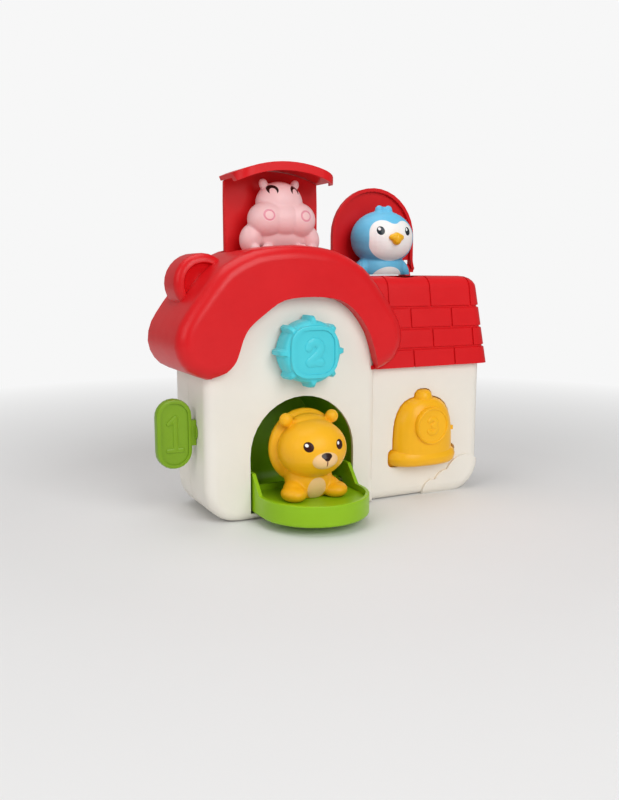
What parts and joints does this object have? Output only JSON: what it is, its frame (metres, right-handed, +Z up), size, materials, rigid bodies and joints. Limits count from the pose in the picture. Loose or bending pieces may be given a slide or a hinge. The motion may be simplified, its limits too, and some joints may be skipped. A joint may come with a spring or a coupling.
{
  "type": "pop up animal toy",
  "caption": "Toy house whose key, dial and bell release small animals: a hippo on a spring lift, a lion on a drop-down door and a penguin on a flip-up roof lid.",
  "frame": {"origin": "middle of the flat bottom that the toy stands on, midway between the front and rear faces of the tall part", "axes": "+X to the toy's right as seen from the front, from the key towards the low part; +Y from the front to the rear; +Z up"},
  "size_m": [0.2427, 0.1221, 0.226],
  "materials": {
    "white_plastic": "warm white moulded plastic, smooth with a soft gloss",
    "red_plastic": "bright red moulded plastic, smooth and glossy",
    "green_plastic": "lime green moulded plastic, smooth and glossy",
    "key_green": "darker lime green moulded plastic",
    "dial_blue": "light blue moulded plastic, smooth and glossy",
    "bell_yellow": "warm yellow moulded plastic, smooth and glossy",
    "lion_yellow": "orange yellow soft vinyl with painted features",
    "hippo_pink": "pale pink soft vinyl with painted features",
    "penguin_blue": "light blue soft vinyl with a white face and belly",
    "inner_plastic": "natural inner plastic, hidden in the housing",
    "screw_steel": "zinc plated steel",
    "spring_steel": "bright spring wire"
  },
  "bodies": {
    "house": {"front_shell": "white_plastic", "rear_shell": "white_plastic", "housing_screw_1": "screw_steel", "housing_screw_2": "screw_steel", "housing_screw_3": "screw_steel", "housing_screw_4": "screw_steel", "housing_screw_5": "screw_steel", "arch_roof": "red_plastic", "brick_roof": "red_plastic", "door_alcove": "green_plastic", "door_pin_left": "screw_steel", "door_pin_right": "screw_steel", "door_spring": "spring_steel", "lift_shaft": "inner_plastic", "lift_spring": "spring_steel", "lid_rod": "screw_steel", "lid_spring": "spring_steel", "lid_latch_pin": "screw_steel", "lid_latch_spring": "spring_steel"},
    "turn_key": {"key": "key_green", "key_cam": "inner_plastic"},
    "hippo_catch": {"hippo_latch": "inner_plastic"},
    "turn_dial": {"dial": "dial_blue", "dial_cam": "inner_plastic", "dial_screw": "screw_steel"},
    "door_catch": {"door_latch": "inner_plastic"},
    "bell": {"bell_button": "bell_yellow"},
    "lid_catch": {"lid_latch": "inner_plastic"},
    "hippo_lift": {"lift_back": "red_plastic", "lift_platform": "red_plastic", "lift_cap": "red_plastic", "hippo_figure": "hippo_pink"},
    "lion_door": {"door_shell": "green_plastic", "tray_floor": "green_plastic", "lion_figure": "lion_yellow", "lion_screw": "screw_steel"},
    "penguin_flap": {"penguin_lid": "red_plastic", "penguin_figure": "penguin_blue"}
  },
  "joints": [
    {"name": "key_turn", "type": "hinge", "parent": "house", "child": "turn_key", "pos_m": [-0.107, -0.015, 0.0573], "axis": [1, 0, 0], "range_deg": [0, 60]},
    {"name": "hippo_catch_slide", "type": "slide", "parent": "house", "child": "hippo_catch", "axis": [0, -1, 0], "range_m": [0, 0.005]},
    {"name": "hippo_rise", "type": "slide", "parent": "house", "child": "hippo_lift", "axis": [0, 0, -1], "range_m": [0, 0.052], "stiffness_N_per_m": 60, "springref_m": -0.035, "deforming": ["lift_spring"]},
    {"name": "dial_turn", "type": "hinge", "parent": "house", "child": "turn_dial", "pos_m": [-0.041, -0.035, 0.1077], "axis": [0, 1, 0], "range_deg": [0, 45]},
    {"name": "door_catch_slide", "type": "slide", "parent": "house", "child": "door_catch", "axis": [-1, 0, 0], "range_m": [0, 0.006]},
    {"name": "door_swing", "type": "hinge", "parent": "house", "child": "lion_door", "pos_m": [-0.041, -0.02425, 0.01625], "axis": [-1, 0, 0], "range_deg": [0, 90], "stiffness_Nm_per_rad": 0.01, "springref_deg": -85.94},
    {"name": "bell_press", "type": "slide", "parent": "house", "child": "bell", "axis": [0, 1, 0], "range_m": [0, 0.004], "stiffness_N_per_m": 200, "springref_m": -0.002},
    {"name": "lid_catch_swing", "type": "hinge", "parent": "house", "child": "lid_catch", "pos_m": [0.0735, 0.003, 0.088], "axis": [1, 0, 0], "range_deg": [0, 6]},
    {"name": "lid_swing", "type": "hinge", "parent": "house", "child": "penguin_flap", "pos_m": [0.0445, 0.027, 0.1595], "axis": [1, 0, 0], "range_deg": [0, 90], "stiffness_Nm_per_rad": 0.02, "springref_deg": -85.94}
  ],
  "couplings": [
    {"joint": "hippo_catch_slide", "follows": "key_turn", "m_per_rad": 0.004774},
    {"joint": "door_catch_slide", "follows": "dial_turn", "m_per_rad": 0.007639},
    {"joint": "lid_catch_swing", "follows": "bell_press", "rad_per_m": 25}
  ]
}
